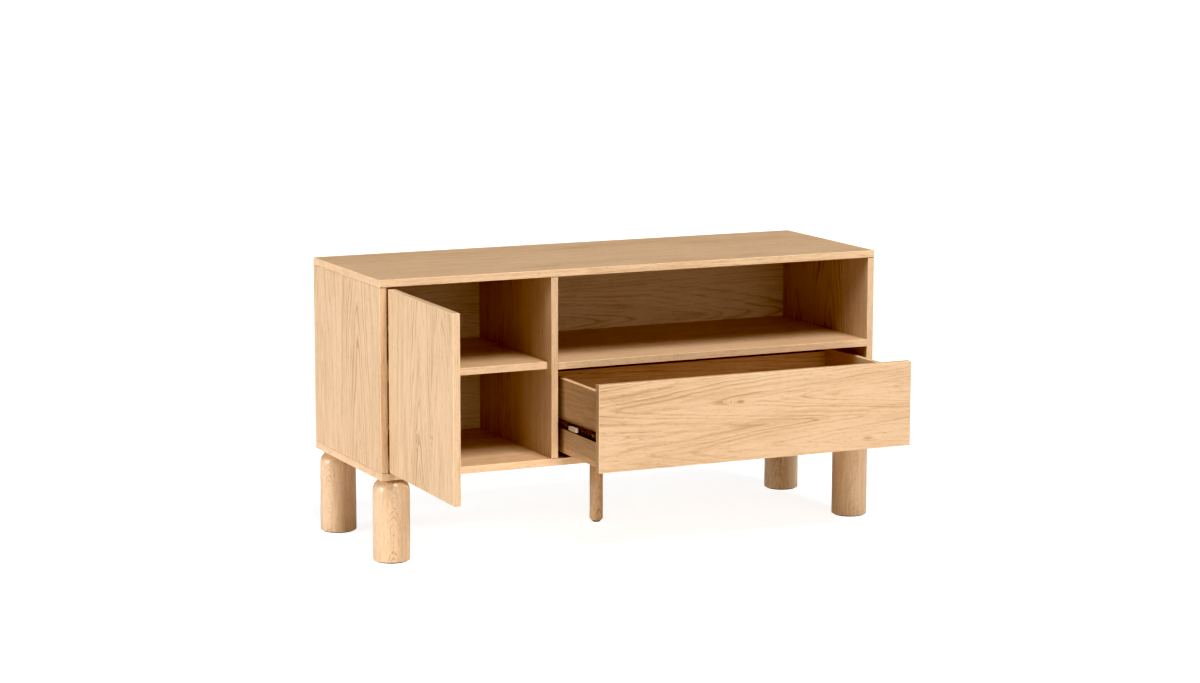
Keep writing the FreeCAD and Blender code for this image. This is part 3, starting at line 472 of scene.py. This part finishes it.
def lathe(name, outline, centre, steps=96):
    """Solid of revolution about an upright axis. outline runs (radius, height) from the foot up."""
    mesh = bpy.data.meshes.new(name)
    bm = bmesh.new()
    rings = []
    for radius, height in outline:
        ring = []
        for i in range(steps):
            angle = 2 * math.pi * i / steps
            ring.append(bm.verts.new((centre[0] + radius * math.cos(angle),
                                      centre[1] + radius * math.sin(angle), height)))
        rings.append(ring)
    for lower, upper in zip(rings, rings[1:]):
        for i in range(steps):
            j = (i + 1) % steps
            bm.faces.new((lower[i], lower[j], upper[j], upper[i]))
    bm.faces.new(list(reversed(rings[0])))
    bm.faces.new(rings[-1])
    for face in bm.faces:
        face.smooth = len(face.verts) == 4
    bm.to_mesh(mesh)
    bm.free()
    return mesh


def arc(centre, radius, start, end, count):
    """Points of an arc in the outline's plane, in degrees."""
    angles = [math.radians(start + (end - start) * i / count) for i in range(count + 1)]
    return [(centre[0] + radius * math.cos(a), centre[1] + radius * math.sin(a)) for a in angles]


def legs():
    """Four turned legs and the slim support leg."""
    dome, foot_round = 28 * MM, 2 * MM
    # Each corner with the way its arches face, in degrees
    corners = (("front_left", 14.0), ("front_right", 10.0), ("back_left", 52.0),
               ("back_right", 40.0))
    for number, (corner, facing) in enumerate(corners):
        node = "leg_" + corner
        low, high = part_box(node)
        centre = (low + high) / 2
        radius = (high.x - low.x) / 2
        outline = arc((radius - foot_round, low.z + foot_round), foot_round, -90, 0, 5)
        outline += [(radius, z) for z in (low.z + 30 * MM, low.z + 90 * MM)]
        outline += arc((radius - dome, high.z - dome), dome, 0, 90, 22)
        start = 0.05 + 0.03 * number
        wood = oak(node + "_oak", "zxy", (start, centre.x, centre.y), 0.075, 0.0009,
                   seed=71.0 + number, warp=0.0005, rough=0.40, figure=1.25, spread=0.014,
                   turn=facing, pith=0.30, dashes=0.75, coat=0.6, tone=1.03)
        mesh = lathe(node, outline, centre)
        mesh.materials.append(wood)
        piece = link(node + "_turned", mesh, "cabinet")
        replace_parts(piece, node)
    low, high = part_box("support_leg")
    radius = (high.x - low.x) / 2
    chamfer = 5 * MM
    outline = [(radius - chamfer, low.z), (radius - 0.4 * MM, low.z + chamfer - 0.5 * MM)]
    outline += [(radius, low.z + chamfer + 0.6 * MM), (radius, high.z)]
    wood = oak("support_leg_oak", "zxy", (0.05, 0.0, 0.0), 0.10, 0.0026, seed=79.0, warp=0.0009,
               rough=0.40, figure=0.9, pith=0.11, dashes=0.6, coat=0.5, tone=1.15)
    mesh = lathe("support_leg", outline, (low + high) / 2, 64)
    mesh.materials.append(wood)
    piece = link("support_leg_turned", mesh, "cabinet")
    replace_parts(piece, "support_leg")


def islands(mesh):
    """Corner points of each separate body in a mesh."""
    bm = bmesh.new()
    bm.from_mesh(mesh)
    bmesh.ops.remove_doubles(bm, verts=bm.verts, dist=0.001 * MM)
    waiting = set(bm.verts)
    found = []
    while waiting:
        start = waiting.pop()
        group, edge = [start], [start]
        while edge:
            near = {e.other_vert(v) for v in edge for e in v.link_edges} & waiting
            waiting -= near
            edge = list(near)
            group += edge
        found.append([v.co.copy() for v in group])
    bm.free()
    return sorted(found, key=lambda points: tuple(round(c, 6) for c in min(points, key=tuple)))


def screw_ends(points):
    """Head's and tip's centres, and their radii, of a screw that points along an axis."""
    low = [min(p[k] for p in points) for k in range(3)]
    high = [max(p[k] for p in points) for k in range(3)]
    long_way = max(range(3), key=lambda k: high[k] - low[k])
    ends = []
    for level in (low[long_way], high[long_way]):
        ring = [p for p in points if abs(p[long_way] - level) < 0.4 * MM]
        middle = sum(ring, Vector()) / len(ring)
        ends.append((max((p - middle).length for p in ring), middle))
    (tip_radius, tip), (head_radius, head) = sorted(ends, key=lambda end: end[0])
    return head, tip, head_radius, tip_radius


def wood_screw(bm, points, steps=24):
    """Countersunk screw with a thread and a cross recess, in place of a plain one."""
    head, tip, head_radius, shank = screw_ends(points)
    length = (head - tip).length
    turn = (head - tip).to_track_quat("Z", "Y").to_matrix().to_4x4()
    place = Matrix.Translation(head) @ turn
    core, neck = THREAD_CORE * shank, NECK * shank
    under_head = 0.85 * (shank - head_radius)
    outline = [(0.15 * shank, -length), (core, TIP_LENGTH - length)]
    room = length - TIP_LENGTH + under_head - 1.5 * THREAD_PITCH
    for i in range(int(min(THREADED_SHARE * length, room) / THREAD_PITCH)):
        start = TIP_LENGTH - length + i * THREAD_PITCH
        outline += [(shank, start + 0.4 * THREAD_PITCH), (core, start + 0.9 * THREAD_PITCH)]
    outline += [(neck, outline[-1][1] + 0.4 * THREAD_PITCH), (neck, under_head)]
    outline += [(0.97 * head_radius, -HEAD_BEVEL), (head_radius, -HEAD_RIM),
                (0.95 * head_radius, 0.0)]
    rings = []
    for radius, height in outline:
        ring = []
        for i in range(steps):
            angle = 2 * math.pi * i / steps
            point = Vector((radius * math.cos(angle), radius * math.sin(angle), height))
            ring.append(bm.verts.new(place @ point))
        rings.append(ring)
    for lower, upper in zip(rings, rings[1:]):
        for i in range(steps):
            j = (i + 1) % steps
            bm.faces.new((lower[i], lower[j], upper[j], upper[i]))
    bm.faces.new(list(reversed(rings[0])))

    reach, half = CROSS_REACH * head_radius, CROSS_HALF * head_radius
    quarter = ((reach, -half), (reach, half), (half, half))
    crosses = []
    for share, height in ((1.0, 0.0), (CROSS_TAPER, -CROSS_DEPTH * head_radius)):
        cross = []
        for i in range(4):
            spin = place @ Matrix.Rotation(math.pi / 2 * i, 4, "Z")
            for x, y in quarter:
                cross.append(bm.verts.new(spin @ Vector((x * share, y * share, height))))
        crosses.append(cross)
    top, floor_ring = crosses
    count = len(top)
    for i in range(count):
        j = (i + 1) % count
        bm.faces.new((top[j], top[i], floor_ring[i], floor_ring[j]))
    bm.faces.new(floor_ring)
    outer = [bm.edges.get((rings[-1][i], rings[-1][(i + 1) % steps])) for i in range(steps)]
    inner = [bm.edges.get((top[i], top[(i + 1) % count])) for i in range(count)]
    bmesh.ops.bridge_loops(bm, edges=outer + inner)


def screws(node, metal):
    """Detailed screws in place of a node of plain ones."""
    bm = bmesh.new()
    for points in islands(frame["nodes"][node].data):
        wood_screw(bm, points)
    bmesh.ops.recalc_face_normals(bm, faces=bm.faces)
    mesh = bpy.data.meshes.new(node + "_threaded")
    bm.to_mesh(mesh)
    bm.free()
    mesh.materials.append(metal)
    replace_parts(link(node + "_threaded", mesh, body_of(node)), node)


def hardware():
    """Materials of the metal and plastic parts."""
    nickel = steel("nickel_plate", (0.80, 0.78, 0.74), 0.36, metallic=0.55)
    zinc = steel("zinc_plate", (0.62, 0.58, 0.52), 0.40, metallic=0.6)
    black = steel("black_zinc", (0.20, 0.105, 0.075), 0.46, metallic=0.4)
    beech = oak("beech_dowel", "zxy", (0.0, 0.0, 0.0), tone=0.95, figure=0.3, seed=83.0, pith=0.1)
    grey = plastic("latch_grey", (0.42, 0.42, 0.43))
    white = plastic("bumper_white", (0.86, 0.76, 0.64))
    dark_felt = felt("glide_felt", (0.05, 0.042, 0.036))
    finishes = {"nickel": nickel, "zinc_steel": zinc, "slide_steel": black, "beech": beech,
                "latch_plastic": grey, "bumper_plastic": white, "glide_plastic": dark_felt}
    for entry in frame["record"]["subparts"]:
        finish = finishes.get(entry["material_slot"])
        if entry["node"].endswith("_screws"):
            screws(entry["node"], finish)
        elif finish:
            paint(entry["node"], finish)


# ---------------------------------------------------------------- studio

def floor(name, pale, glow):
    """Very large floor just under the feet."""
    mesh = bpy.data.meshes.new(name)
    corners = [(x * FLOOR_HALF, y * FLOOR_HALF, 0) for x, y in ((-1, -1), (1, -1), (1, 1), (-1, 1))]
    mesh.from_pydata(corners, [], [(0, 1, 2, 3)])
    white = (1.0, 1.0, 1.0, 1.0)
    mesh.materials.append(Graph(name).surface(pale, 0.9, Specular_IOR_Level=0.0,
                                              Emission_Color=white, Emission_Strength=glow))
    plane = bpy.data.objects.new(name, mesh)
    bpy.context.scene.collection.objects.link(plane)
    plane.location.z = -FLOOR_DROP
    return plane


def studio():
    """Pale floor, soft key light from the front left, a faint sky and the camera."""
    # The camera sees a nearly white floor with faint shadows. A darker one lights the object
    upper = floor("studio_floor", FLOOR_PALE, FLOOR_GLOW)
    upper.visible_diffuse = False
    upper.visible_glossy = False
    upper.visible_shadow = False
    lower = floor("studio_bounce", BOUNCE_PALE, BOUNCE_GLOW)
    lower.visible_camera = False
    lower.location.z -= BOUNCE_DROP

    for name, azimuth, height, strength, softness, tint in LAMPS:
        lamp = bpy.data.lights.new(name, "SUN")
        lamp.energy = strength
        lamp.angle = math.radians(softness)
        lamp.color = tint
        lamp_object = bpy.data.objects.new(name, lamp)
        bpy.context.scene.collection.objects.link(lamp_object)
        lamp_object.rotation_euler = Euler((math.radians(90 - height), 0, math.radians(-azimuth)))

    world = bpy.data.worlds.new("studio")
    world.use_nodes = True
    background = world.node_tree.nodes["Background"]
    background.inputs[0].default_value = (*SKY_COLOUR, 1.0)
    background.inputs[1].default_value = SKY_STRENGTH
    bpy.context.scene.world = world

    lens = bpy.data.cameras.new("camera")
    lens.sensor_width = SENSOR
    lens.lens = CAMERA_LENS
    lens.clip_end = 200.0
    camera = bpy.data.objects.new("camera", lens)
    bpy.context.scene.collection.objects.link(camera)
    turn = Matrix.Rotation(math.radians(-CAMERA_YAW), 4, "Z")
    turn = turn @ Matrix.Rotation(math.radians(90 - CAMERA_PITCH), 4, "X")
    turn = turn @ Matrix.Rotation(math.radians(CAMERA_ROLL), 4, "Z")
    camera.matrix_world = Matrix.Translation(CAMERA_PLACE) @ turn
    bpy.context.scene.camera = camera
    settings = bpy.context.scene.view_settings
    settings.view_transform = "Standard"
    settings.gamma = PRINT_GAMMA
    settings.use_curve_mapping = True
    settings.curve_mapping.black_level = PRINT_BLACK
    settings.curve_mapping.update()


wood_boards()
legs()
hardware()
studio()
